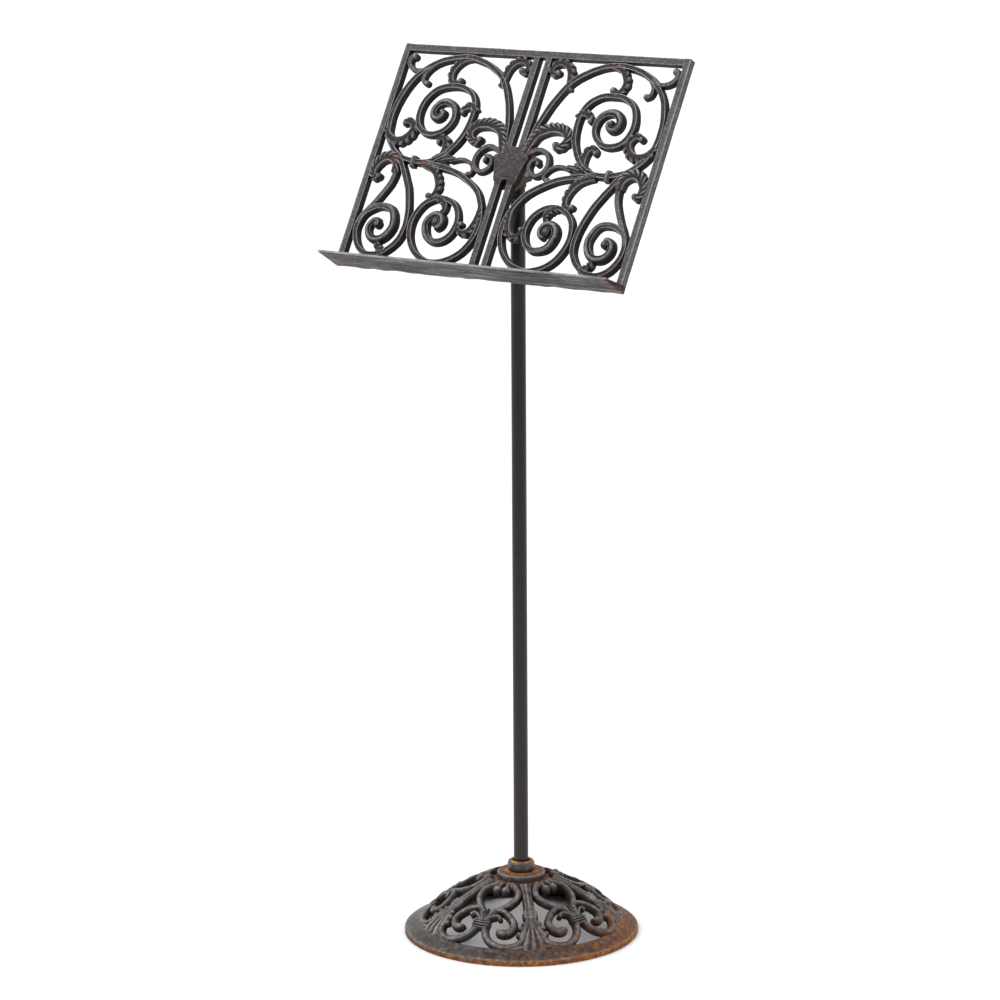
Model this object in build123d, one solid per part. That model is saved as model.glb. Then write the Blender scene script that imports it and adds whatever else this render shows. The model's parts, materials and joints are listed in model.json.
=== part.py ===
from build123d import *
import os
from math import cos, hypot, radians, sin, sqrt

# A free-standing bible stand in cast iron: a pierced dome base, a plain pole and an openwork
# desk with a book ledge, which tilts on a bolt at the top of the pole.
# Millimetres, +Z up, origin at the middle of the base's underside, desk facing -Y.

# ---- driving dimensions -------------------------------------------------------------------
BASE_R = 152.5             # base, outside radius
RIM_H = 6.5                # height of the base's outer edge
RIM_FOOT = 5.5             # width of the ring the base stands on
DOME_FOOT = (133.0, 15.5)  # radius and height where the flange turns into the dome
DOME_HEAD = (31.0, 77.0)   # radius and height where the dome's line would meet the hub
DOME_RISE = 6.5            # how far the dome swells above the straight line between the two
SHELL = 7.0                # upright thickness of the dome
OPEN_R = (47.0, 131.0)     # the openwork lies between these radii
REPEATS = 5                # balusters around the base
BASE_TURN = -47.4          # angle of the first baluster from +X

HUB_TOP = 81.0
HUB_RING = (31.3, 73.0)     # radius of the hub's ring, and height of its foot
APRON_FOOT = (44.5, 67.0)  # radius and height where the hub's apron ends, at the openwork
HUB_UNDER = 58.0
COLLAR_R = 17.7
COLLAR_H = 14.5
POLE_R = 9.5
POLE_WALL = 2.0
POLE_FOOT = 73.0           # height of the pole's lower end, in the hub's counterbore
SPIGOT_R = 6.0

HINGE_Z = 995.8            # height of the tilt axis
LEAN = 30.5                # desk's lean back from upright, at rest
DESK_W = 437.2
DESK_H = 311.6
BAR = 9.3                  # width of the frame's bars
DESK_T = 9.8               # thickness of the openwork
FACE = 20.8                # distance of the desk's front face from the tilt axis
SPINE_IN, SPINE_OUT = 5.0, 13.7
BOSS_PROUD = 1.4
LEDGE_OUT = 39.0           # how far the ledge stands out from the front face
LEDGE_EDGE = 3.0           # thickness at its free edge

TONGUE_X, TONGUE_Y = 8.0, 7.5    # half thickness and half width of the pole head's tongue
EAR_IN, EAR_OUT = 9.2, 13.7
PLATE_T = 3.0
BOLT_R = 4.0
GAP = 0.05                 # radial clearance of the bolt in its holes

# ---- names worked out from them -----------------------------------------------------------
BACK = FACE - DESK_T
HEAD_Z = HINGE_Z - 21.5
TUBE_TOP = HEAD_Z - 1.4
HALF_W, HALF_H = DESK_W / 2, DESK_H / 2
SPINE_TOP = HALF_H - BAR           # under the top bar
LEDGE_TOP = -HALF_H + BAR + 0.6    # the ledge's upper face where it meets the desk
desk_frame = Plane(
    origin=(0, 0, HINGE_Z),
    x_dir=(1, 0, 0),
    z_dir=(0, -cos(radians(LEAN)), sin(radians(LEAN))),
)
nodes = {}


def put(name, shape):
    """Keep a finished piece under its node name."""
    nodes[name] = shape


def on_desk(shape):
    """Move a piece from the desk's own frame, whose origin is on the tilt axis, into place."""
    return desk_frame.location * shape


def turned(profile):
    """Turn a closed outline of (radius, height) points about the pole's axis."""
    return revolve(make_face(Plane.XZ * profile), Axis.Z)


def rod(radius, low, high, hole=0):
    """An upright round bar or tube between two heights."""
    solid = Pos(0, 0, low) * extrude(Circle(radius), high - low)
    if hole:
        solid -= Pos(0, 0, low - 1) * extrude(Circle(hole), high - low + 2)
    return solid


def along_x(face, low, high):
    """Extrude an outline of (distance in front, distance up) points along the desk's width."""
    side = Plane(origin=(high, 0, 0), x_dir=(0, 0, 1), z_dir=(-1, 0, 0))
    return extrude(side.location * face, high - low)


def cross_rod(radius, low, high, hole=0):
    """A round bar or ring along X through the tilt axis."""
    return Pos(0, 0, HINGE_Z) * Rot(0, 90, 0) * rod(radius, low, high, hole)


# ---- the dome's section ---------------------------------------------------------------------
chord = hypot(DOME_FOOT[0] - DOME_HEAD[0], DOME_HEAD[1] - DOME_FOOT[1])
arc_r = (chord ** 2 / 4 + DOME_RISE ** 2) / (2 * DOME_RISE)
out_r = (DOME_HEAD[1] - DOME_FOOT[1]) / chord
out_z = (DOME_FOOT[0] - DOME_HEAD[0]) / chord
centre_r = (DOME_FOOT[0] + DOME_HEAD[0]) / 2 - (arc_r - DOME_RISE) * out_r
centre_z = (DOME_FOOT[1] + DOME_HEAD[1]) / 2 - (arc_r - DOME_RISE) * out_z


def dome_z(radius):
    """Height of the dome's outer surface at a radius."""
    return centre_z + sqrt(arc_r ** 2 - (radius - centre_r) ** 2)


def dome_arc(r_start, r_end, drop=0.0):
    """The dome's arc between two radii, lowered by drop."""
    r_mid = (r_start + r_end) / 2
    ends = [(r, dome_z(r) - drop) for r in (r_start, r_mid, r_end)]
    return ThreePointArc(*ends)


def dome_shell():
    """The dome's wall over the whole openwork."""
    r_in, r_out = OPEN_R
    outline = dome_arc(r_in, r_out)
    outline += Line((r_out, dome_z(r_out)), (r_out, dome_z(r_out) - SHELL))
    outline += dome_arc(r_out, r_in, SHELL)
    outline += Line((r_in, dome_z(r_in) - SHELL), (r_in, dome_z(r_in)))
    return turned(outline)


# ---- ribbons: flat strands that follow a curved line ------------------------------------------
def ribbon(points, width, tip=1.0):
    """A flat strand along a smooth line. It narrows to width * tip at its far end, and both
    ends are round."""
    line = Spline(*points)
    steps = 3 * len(points)
    left, right = [], []
    for i in range(steps + 1):
        at = i / steps
        half = width / 2 * (1 + (tip - 1) * max(0.0, at - 0.5) * 2)
        along = line % at
        side = Vector(-along.Y, along.X) * half
        left.append(line @ at + side)
        right.append(line @ at - side)
    start_cap = ThreePointArc(right[0], line @ 0 - (line % 0) * width / 2, left[0])
    end_cap = ThreePointArc(left[-1], line @ 1 + (line % 1) * width * tip / 2, right[-1])
    return make_face(start_cap + Spline(*left) + end_cap + Spline(*reversed(right)))


def disc(centre, radius):
    return Pos(*centre) * Circle(radius)


def joined(faces):
    """One flat outline from overlapping ones."""
    whole = faces[0]
    for face in faces[1:]:
        whole = whole + face
    return whole


# ---- base -------------------------------------------------------------------------------------
def polar(angle, radius):
    return (radius * cos(radians(angle)), radius * sin(radians(angle)))


def plan_line(path, side=1):
    """Plan points from (angle off the motif's middle, radius) pairs; side -1 mirrors them."""
    return [polar(side * angle, radius) for angle, radius in path]


# half of a baluster's plan outline: (radius, half width)
BALUSTER = [
    (47, 7.5), (70, 7.0), (86, 7.2), (90, 9.0), (94, 7.0), (101, 7.5), (112, 12.5), (122, 18), (132, 23)]
# strands of the fleur, right half: (angle, radius) along each line, and its width
FLEUR_STEM = [(14, 44), (22, 50), (25, 58), (22, 68), (15, 78), (7, 85), (3, 92), (1.5, 104)]
FLEUR_SCROLL = [
    (3, 88), (8, 85), (13, 87), (18, 92), (22, 99), (23.5, 106), (21.5, 112), (17.5, 115), (14.5, 111)]
FLEUR_ARM = [(2, 108), (5, 117), (9, 124), (16, 129), (23, 129), (28, 125), (29.5, 119)]
FLEUR_BEAD = [(6, 46), (6, 57)]
STRAND = 9.0


def baluster_plan():
    """Strap, waist ring and flared foot of one baluster, seen from above, along +X."""
    right = [(r, w) for r, w in BALUSTER]
    left = [(r, -w) for r, w in reversed(BALUSTER)]
    outline = Polyline(*right) + Line(right[-1], left[0]) + Polyline(*left) + Line(left[-1], right[0])
    return make_face(outline)


def fleur_plan():
    """Both strands, scrolls and arms of one fleur, seen from above, along +X."""
    faces = [Pos(106.5, 0) * Rectangle(8, 20)]
    for side in (1, -1):
        faces.append(ribbon(plan_line(FLEUR_STEM, side), STRAND))
        faces.append(ribbon(plan_line(FLEUR_SCROLL, side), STRAND))
        faces.append(ribbon(plan_line(FLEUR_ARM, side), STRAND + 1))
        faces.append(ribbon(plan_line(FLEUR_BEAD, side), STRAND - 1))
        faces.append(disc(polar(side * 14.5, 110), 5.8))
    return joined(faces)


def build_base():
    shell = dome_shell()
    band = Circle(OPEN_R[1]) - Circle(OPEN_R[0])
    baluster = baluster_plan() & band
    neighbours = Rot(0, 0, 36) * baluster + Rot(0, 0, -36) * baluster
    fleur = (fleur_plan() & band) - neighbours
    height = DOME_HEAD[1] + 10
    baluster_solid = shell & extrude(baluster, height)
    fleur_solid = shell & extrude(fleur, height)
    for i in range(REPEATS):
        turn = BASE_TURN + i * 360 / REPEATS
        put(f"base_baluster_{i + 1}", Rot(0, 0, turn) * baluster_solid)
        put(f"base_fleur_{i + 1}", Rot(0, 0, turn + 180 / REPEATS) * fleur_solid)

    r_out = OPEN_R[1]
    put("base_flange", turned(Polyline(
        (BASE_R - RIM_FOOT, 0), (BASE_R, 0), (BASE_R, RIM_H), DOME_FOOT,
        (r_out, dome_z(r_out)), (r_out, dome_z(r_out) - SHELL),
        (DOME_FOOT[0], DOME_FOOT[1] - SHELL), close=True,
    )))
    r_in = OPEN_R[0]
    put("base_hub", turned(Polyline(
        APRON_FOOT, HUB_RING, (HUB_RING[0], HUB_TOP - 1), (HUB_RING[0] - 1, HUB_TOP),
        (POLE_R + GAP, HUB_TOP), (POLE_R + GAP, POLE_FOOT), (SPIGOT_R + 0.3, POLE_FOOT),
        (SPIGOT_R + 0.3, HUB_UNDER), (20, HUB_UNDER), (r_in, dome_z(r_in) - SHELL),
        (r_in, dome_z(r_in)), close=True,
    )))


# ---- pole ---------------------------------------------------------------------------------------
def build_pole():
    collar = rod(COLLAR_R, HUB_TOP, HUB_TOP + COLLAR_H)
    collar = fillet(collar.edges().group_by(Axis.Z)[-1], 3.0)
    collar = fillet(collar.edges().group_by(Axis.Z)[0], 1.0)
    bore = rod(POLE_R + GAP, HUB_TOP - 1, HUB_TOP + COLLAR_H + 1)
    lead_in = rod(POLE_R + 1.2, HUB_TOP + COLLAR_H - 3, HUB_TOP + COLLAR_H + 1)
    put("pole_collar", collar - bore - lead_in)

    bore_r = POLE_R - POLE_WALL
    pin_z = TUBE_TOP - 14
    pin_hole = Pos(0, 0, pin_z) * Rot(90, 0, 0) * extrude(Circle(2.0), BASE_R, both=True)
    put("pole_tube", rod(POLE_R, POLE_FOOT, TUBE_TOP, bore_r) - pin_hole)

    spigot = rod(bore_r - GAP, POLE_FOOT, POLE_FOOT + 30) + rod(SPIGOT_R, HUB_UNDER - 13.5, POLE_FOOT)
    put("foot_spigot", spigot)
    put("foot_washer", rod(13, HUB_UNDER - 2.5, HUB_UNDER, SPIGOT_R + 0.5))
    nut = Pos(0, 0, HUB_UNDER - 11.5) * extrude(RegularPolygon(9.5, 6, major_radius=False), 9)
    put("foot_nut", nut - rod(SPIGOT_R + GAP, HUB_UNDER - 15, HUB_UNDER))

    head = rod(bore_r - GAP, TUBE_TOP - 30, TUBE_TOP) + rod(POLE_R, TUBE_TOP, HEAD_Z)
    tongue_z = (HEAD_Z + HINGE_Z) / 2
    head += Pos(0, 0, tongue_z) * Box(2 * TONGUE_X, 2 * TONGUE_Y, HINGE_Z - HEAD_Z)
    head += cross_rod(TONGUE_Y, -TONGUE_X, TONGUE_X)
    head -= cross_rod(BOLT_R + GAP, -20, 20)
    put("pole_head", head - pin_hole)
    pin = Rot(90, 0, 0) * extrude(Circle(2.0 - GAP), POLE_R - 0.3, both=True)
    put("pole_head_pin", Pos(0, 0, pin_z) * pin)


# ---- tilt hinge -----------------------------------------------------------------------------------
def build_hinge():
    """Bracket on the boss's back with two ears astride the tongue, and the bolt through them."""
    plate_low, plate_high = -31.5, 20.0
    plate = Pos(0, (plate_low + plate_high) / 2, BACK - PLATE_T / 2) * Box(
        2 * EAR_OUT, plate_high - plate_low, PLATE_T)
    # the ear's outline, as (distance in front of the tilt axis, distance up the desk)
    ear = Polyline(
        (BACK - PLATE_T, plate_low), (-2.0, -17.0), (-16.5, -6.5), (-17.5, 2.0), (-11.0, 12.5),
        (BACK - PLATE_T, plate_high), close=True)
    ear = make_face(ear)
    ear = fillet(ear.vertices().filter_by(lambda v: v.X < -10), 4.0)
    ears = [along_x(ear, low, low + EAR_OUT - EAR_IN) for low in (EAR_IN, -EAR_OUT)]
    bracket = on_desk(plate + ears[0] + ears[1])
    bracket -= cross_rod(BOLT_R + GAP, -20, 20)
    bracket -= countersink(EAR_OUT - 3.6, 7.6)
    rivet_spots = [(-6.3, 11.0), (6.3, 11.0)]
    rivet_holes = [Pos(u, v, 0) * rod(2.5, 0, 40) for u, v in rivet_spots]
    for hole in rivet_holes:
        bracket -= on_desk(hole)
    put("hinge_bracket", bracket)
    rivets = [Pos(u, v, 0) * rod(2.5, BACK - PLATE_T, FACE + BOSS_PROUD) for u, v in rivet_spots]
    put("bracket_rivets", Compound(children=[on_desk(rivet) for rivet in rivets]))

    bolt = cross_rod(BOLT_R, -25.0, EAR_OUT - 3.0) + countersink(EAR_OUT - 3.6, 7.6 - GAP)
    put("hinge_bolt", bolt)
    friction = [cross_rod(TONGUE_Y - 0.3, low, low + 0.95, BOLT_R + GAP)
                for low in (TONGUE_X + 0.2, -EAR_IN + 0.05)]
    put("friction_washers", Compound(children=friction))
    put("hinge_washer", cross_rod(8.4, -EAR_OUT - 1.6, -EAR_OUT, BOLT_R + GAP))
    flats = extrude(RegularPolygon(6.5, 6, major_radius=False), 6.5)
    nut = Pos(-EAR_OUT - 8.1, 0, HINGE_Z) * Rot(0, 90, 0) * flats
    put("hinge_nut", nut - cross_rod(BOLT_R + GAP, -30, 0))
    return rivet_holes


def countersink(low, radius):
    """The bolt's cone-shaped head, flush with the right ear's outer face."""
    cone = Cone(BOLT_R, radius, EAR_OUT - low, align=(Align.CENTER, Align.CENTER, Align.MIN))
    return Pos(low, 0, HINGE_Z) * Rot(0, 90, 0) * cone


# ---- desk -----------------------------------------------------------------------------------------
# Strands of the right-hand scrollwork, as (across, up) points from the middle of the desk.
SCROLLS = [
    # great scroll, from the boss over the top and down to the lower corner
    ([(15, 20), (22, 50), (42, 100), (75, 131), (117, 142), (160, 132), (195, 98), (205, 55), (195, 20),
      (172, -3), (150, -32), (133, -75), (133, -112), (165, -137), (202, -113), (200, -85), (172, -70),
      (149, -95), (162, -115), (188, -100), (175, -91)], 7.8, 0.8),
    # upper inner spiral
    ([(205, 45), (190, 12), (148, -6), (120, -3), (95, 17), (81, 55), (90, 90), (125, 101), (160, 80),
      (160, 46), (134, 33), (108, 52), (113, 78), (141, 78), (146, 54), (128, 58)], 7.8, 0.8),
    # lower inner spiral
    ([(135, -6), (100, -12), (60, -25), (27, -55), (19, -95), (38, -128), (75, -140), (110, -122),
      (121, -85), (107, -60), (85, -53), (58, -68), (55, -97), (80, -113), (100, -98), (94, -78),
      (74, -80), (80, -97)], 7.8, 0.8),
    # boss leaf and boss volute
    ([(15, 14), (21, 32), (42, 51), (69, 48), (74, 35), (60, 28)], 10.5, 0.8),
    ([(16, 10), (30, 21), (48, 19), (56, 3), (43, -13), (29, -2), (37, 9), (41, 1)], 7.0, 0.7),
    # leaf by the spine, at the top
    ([(50, 110), (47, 131), (30, 143), (17, 132), (27, 126)], 9.0, 0.8),
    # hooks under the top bar and in the corner
    ([(108, 141), (122, 138), (133, 120), (124, 104), (117, 111)], 8.0, 0.8),
    ([(158, 131), (172, 120), (174, 104), (167, 102)], 6.5, 0.8),
    ([(174, 124), (190, 119), (205, 130), (200, 140)], 9.0, 0.9),
    # buds and leaves inside the upper spiral
    ([(80, 76), (93, 73), (98, 66)], 9.0, 0.7),
    ([(108, 2), (107, 22), (115, 29), (121, 23)], 8.0, 0.8),
    ([(203, 30), (184, 19), (165, 32), (168, 47), (182, 45)], 9.0, 0.8),
    # bud and tendril at the split
    ([(128, -4), (105, -1), (85, -1)], 9.0, 0.8),
    ([(90, -2), (70, 2), (55, -11), (62, -19)], 6.0, 0.8),
    # leaf hanging from the split, and the buds in the lower spiral
    ([(128, -8), (104, -22), (98, -48), (108, -54)], 8.5, 0.8),
    ([(90, -54), (80, -62), (83, -76)], 7.0, 0.8),
    ([(19, -97), (32, -99), (46, -92)], 9.0, 0.7),
    # lower scroll's bud, stem and leaf head
    ([(148, -133), (160, -129), (166, -118)], 9.0, 0.7),
    ([(203, -97), (190, -70), (173, -40), (176, -8), (197, -6), (206, -24), (194, -30)], 8.5, 0.9),
]
BULBS = [((178, -95), 6), ((130, 61), 7), ((80, -92), 6), ((118, 109), 5), ((168, 103), 4.5), ((199, 139), 5)]


def boss_plan():
    """The shield on the spine, with the slot's round upper end below it."""
    half = [(17, 23), (17, 12), (26, 9), (20, -10), (SPINE_OUT, -30), (SPINE_IN, -30), (SPINE_IN, -26)]
    other = [(-across, up) for across, up in reversed(half)]
    outline = Polyline(*half) + ThreePointArc(half[-1], (0, -26 + SPINE_IN), other[0])
    outline += Polyline(*other) + Line(other[-1], half[0])
    return make_face(outline)


def scroll_plan():
    """All right-hand strands, joined, inside the frame."""
    strands = [ribbon(points, width, tip) for points, width, tip in SCROLLS]
    bulbs = [disc(centre, radius) for centre, radius in BULBS]
    field_w = HALF_W - BAR - SPINE_OUT
    middle = (SPINE_OUT + field_w / 2, (SPINE_TOP + LEDGE_TOP) / 2)
    field = Pos(*middle) * Rectangle(field_w, SPINE_TOP - LEDGE_TOP)
    return (joined(strands + bulbs) & field) - boss_plan()


def slab(face, low=BACK, high=FACE):
    """Give a flat outline the desk's thickness."""
    return Pos(0, 0, low) * extrude(face, high - low)


def spine_plan():
    """Two upright bars and the boss across them."""
    middle = (SPINE_TOP + LEDGE_TOP) / 2
    bar = Rectangle(SPINE_OUT - SPINE_IN, SPINE_TOP - LEDGE_TOP)
    bars = [Pos(side * (SPINE_IN + SPINE_OUT) / 2, middle) * bar for side in (1, -1)]
    return joined(bars + [boss_plan()])


def build_desk(rivet_holes):
    ledge = Polyline(
        (BACK, -HALF_H), (FACE + LEDGE_OUT, -HALF_H), (FACE + LEDGE_OUT, -HALF_H + LEDGE_EDGE),
        (FACE, LEDGE_TOP), (BACK, LEDGE_TOP), close=True)
    put("desk_ledge", on_desk(along_x(make_face(ledge), -HALF_W, HALF_W)))

    for name, across in (("right", HALF_W - BAR / 2), ("left", -HALF_W + BAR / 2)):
        bar = Pos(across, (HALF_H + LEDGE_TOP) / 2) * Rectangle(BAR, HALF_H - LEDGE_TOP)
        put(f"desk_{name}_bar", on_desk(slab(bar)))
    put("desk_top_bar", on_desk(slab(Pos(0, HALF_H - BAR / 2) * Rectangle(DESK_W - 2 * BAR, BAR))))

    spine = slab(spine_plan()) + slab(boss_plan(), FACE, FACE + BOSS_PROUD)
    for hole in rivet_holes:
        spine -= hole
    put("desk_spine", on_desk(spine))

    scroll = slab(scroll_plan())
    put("desk_scroll_right", on_desk(scroll))
    put("desk_scroll_left", on_desk(mirror(scroll, Plane.YZ)))


build_base()
build_pole()
build_desk(build_hinge())
for node, shape in nodes.items():
    export_step(shape, f"parts/{node}.step")
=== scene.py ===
import json
import math

import bmesh
import bpy
import numpy as np
from mathutils import Matrix, Vector, noise

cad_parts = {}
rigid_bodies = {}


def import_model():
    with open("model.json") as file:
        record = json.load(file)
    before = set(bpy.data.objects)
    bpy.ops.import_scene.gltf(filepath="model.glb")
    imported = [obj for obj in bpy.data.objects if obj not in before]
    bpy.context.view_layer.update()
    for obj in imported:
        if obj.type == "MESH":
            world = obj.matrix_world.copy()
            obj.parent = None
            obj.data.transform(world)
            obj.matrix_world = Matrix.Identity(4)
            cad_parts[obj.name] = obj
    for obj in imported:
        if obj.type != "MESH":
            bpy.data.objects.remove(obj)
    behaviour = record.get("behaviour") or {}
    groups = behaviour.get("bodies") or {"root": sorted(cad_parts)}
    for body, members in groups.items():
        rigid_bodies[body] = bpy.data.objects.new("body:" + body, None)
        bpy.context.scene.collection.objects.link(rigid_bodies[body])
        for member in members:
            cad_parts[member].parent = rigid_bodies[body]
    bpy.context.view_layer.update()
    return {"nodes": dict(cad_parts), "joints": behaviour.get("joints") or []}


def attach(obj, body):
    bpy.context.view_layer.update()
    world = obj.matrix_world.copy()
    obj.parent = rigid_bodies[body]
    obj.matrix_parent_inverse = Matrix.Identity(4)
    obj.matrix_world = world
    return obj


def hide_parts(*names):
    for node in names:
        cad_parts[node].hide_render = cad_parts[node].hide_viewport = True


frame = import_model()

# ---- sizes in millimetres, as the CAD has them -------------------------------------------------
MM = 0.001
LEAN = math.radians(30.5)          # desk's lean back from upright, at rest
HINGE_Z = frame["joints"][0]["pos_m"][2]
BACK, DESK_T = 11.0, 9.8           # openwork's back face in front of the tilt axis; its thickness
PLATE_T = 3.0                      # thickness of the bracket's plate behind the boss
HALF_W, HALF_H = 218.6, 155.8
BAR = 9.3
SPINE_IN, SPINE_OUT = 5.0, 13.7
BOSS_PROUD = 1.4
LEDGE_TOP = -HALF_H + BAR + 0.6
LEDGE_DEPTH = 48.8
RIVET_SPOTS, RIVET_R = ((-6.3, 11.0), (6.3, 11.0)), 2.6
TIE_AT, TIE_FROM, TIE_TO = 149, -14, 1      # tie round the strands: across, and its ends up the desk

BASE_R, RIM_H, RIM_FOOT = 152.5, 6.5, 5.5
DOME_FOOT, DOME_HEAD, DOME_RISE = (133.0, 15.5), (31.0, 77.0), 6.5
OPEN_R = 131.0                     # where the pierced wall meets the flange
REPEATS, BASE_TURN = 5, -47.4
HUB_TOP, HUB_RING, HUB_RING_LOW, HUB_UNDER = 81.0, 31.3, 73.0, 58.0
APRON_FOOT = (44.5, 67.0)          # radius and height where the hub's apron ends
COLLAR_R, COLLAR_H, POLE_R, POLE_FOOT = 17.7, 14.5, 9.5, 73.0

DESK = Matrix((
    (1, 0, 0, 0),
    (0, math.sin(LEAN), -math.cos(LEAN), 0),
    (0, math.cos(LEAN), math.sin(LEAN), HINGE_Z),
    (0, 0, 0, 1),
))                                 # desk millimetres to stand metres, apart from MM
DESK_BACK = DESK.inverted()


# ---- smooth lines ---------------------------------------------------------------------------------
def smooth_line(points, step=1.6):
    """A natural cubic through the points, as evenly spaced points about step apart."""
    knots = np.array(points, float)
    chords = np.sqrt(np.linalg.norm(np.diff(knots, axis=0), axis=1))
    t = np.concatenate([[0], np.cumsum(chords)])
    count = len(knots)
    system = np.eye(count)
    right = np.zeros_like(knots)
    for i in range(1, count - 1):
        before, after = t[i] - t[i - 1], t[i + 1] - t[i]
        system[i, i - 1:i + 2] = before, 2 * (before + after), after
        right[i] = 6 * ((knots[i + 1] - knots[i]) / after - (knots[i] - knots[i - 1]) / before)
    bend = np.linalg.solve(system, right)
    dense = []
    for i in range(count - 1):
        span = t[i + 1] - t[i]
        for s in np.linspace(0, span, 24, endpoint=False):
            a, b = span - s, s
            dense.append((bend[i] * a ** 3 + bend[i + 1] * b ** 3) / (6 * span)
                         + (knots[i] / span - bend[i] * span / 6) * a
                         + (knots[i + 1] / span - bend[i + 1] * span / 6) * b)
    dense = np.array(dense + [knots[-1]])
    run = np.concatenate([[0], np.cumsum(np.linalg.norm(np.diff(dense, axis=0), axis=1))])
    stops = np.linspace(0, run[-1], max(3, int(run[-1] / step)))
    return np.stack([np.interp(stops, run, dense[:, k]) for k in range(dense.shape[1])], 1)


def unit(vectors):
    return vectors / np.maximum(np.linalg.norm(vectors, axis=-1, keepdims=True), 1e-9)


def ripple(points, size, amount, seed=0.0):
    """Smooth random numbers of up to about amount, one per point, that change over size mm."""
    shift = Vector((seed, seed * 0.7, -seed))
    return np.array([noise.noise(Vector(p) / size + shift) for p in points]) * amount


# ---- sections of a strand ---------------------------------------------------------------------------
# Rows of (across, up, relief) from the back's left edge to the crest, in half widths and heights.
# Relief is 0 in the deep, 0.5 on a plain face and 1 on a ridge. The iron's colour follows it: painted shade
# in the deep and a painted highlight on the ridges.
RIDGED = [
    (-1.0, 0.0, 0.0), (-0.97, 0.2, 0.05), (-0.84, 0.58, 0.18), (-0.76, 0.84, 0.3), (-0.73, 0.94, 0.6),
    (-0.66, 1.0, 1.0), (-0.54, 1.0, 0.95), (-0.44, 0.95, 0.4), (-0.3, 0.915, 0.25), (-0.15, 0.91, 0.35),
    (0.0, 0.925, 0.5)]
ROUNDED = [
    (-1.0, 0.0, 0.0), (-1.0, 0.22, 0.05), (-0.98, 0.42, 0.12), (-0.93, 0.6, 0.2), (-0.84, 0.75, 0.3),
    (-0.7, 0.87, 0.42), (-0.52, 0.94, 0.55), (-0.36, 0.975, 0.65), (-0.22, 0.99, 0.7), (-0.1, 1.0, 0.75),
    (0.0, 1.0, 0.75)]
LIPPED = [
    (-1.0, 0.0, 0.0), (-1.0, 0.3, 0.06), (-0.97, 0.66, 0.25), (-0.92, 0.84, 0.8), (-0.84, 0.9, 1.0),
    (-0.74, 0.86, 0.6), (-0.6, 0.79, 0.15), (-0.45, 0.85, 0.25), (-0.3, 0.95, 0.55), (-0.15, 0.99, 0.7),
    (0.0, 1.0, 0.75)]
BANDED = [
    (-1.0, 0.0, 0.0), (-1.0, 0.5, 0.1), (-1.0, 0.8, 0.3), (-0.95, 0.86, 0.8), (-0.85, 0.88, 0.9),
    (-0.74, 0.86, 0.4), (-0.68, 0.84, 0.1), (-0.58, 0.9, 0.4), (-0.4, 0.96, 0.65), (-0.2, 0.99, 0.75),
    (0.0, 1.0, 0.8)]
FLAT = [
    (-1.0, 0.0, 0.0), (-1.0, 0.3, 0.04), (-1.0, 0.6, 0.08), (-1.0, 0.8, 0.14), (-1.0, 0.92, 0.3),
    (-0.96, 0.98, 0.9), (-0.89, 1.0, 0.8), (-0.7, 1.0, 0.55), (-0.4, 1.0, 0.52), (-0.2, 1.0, 0.52),
    (0.0, 1.0, 0.54)]
# GROOVED's outer side is painted lighter, as the lit side, with painted shade in its groove.
GROOVED = [
    (-1.0, 0.0, 0.5), (-1.0, 0.55, 0.6), (-1.0, 0.74, 0.62), (-0.985, 0.79, 0.5), (-0.86, 0.815, 0.0),
    (-0.985, 0.85, 0.4), (-1.0, 0.9, 0.7), (-0.96, 0.98, 1.0), (-0.88, 1.0, 0.85), (-0.5, 1.0, 0.56),
    (0.0, 1.0, 0.55)]


def whole(left, right=None):
    """A full section from its left half and the half that is mirrored for its right, on a plain back."""
    back = np.array([(-1.0, 0.0, 0.36)])
    near = np.array(left)
    far = np.array(left if right is None else right)[-2::-1]
    near[0, 1] = far[-1, 1] = 0.02
    return np.concatenate([back, near, np.concatenate([far, back]) * np.array([-1, 1, 1])])


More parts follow.
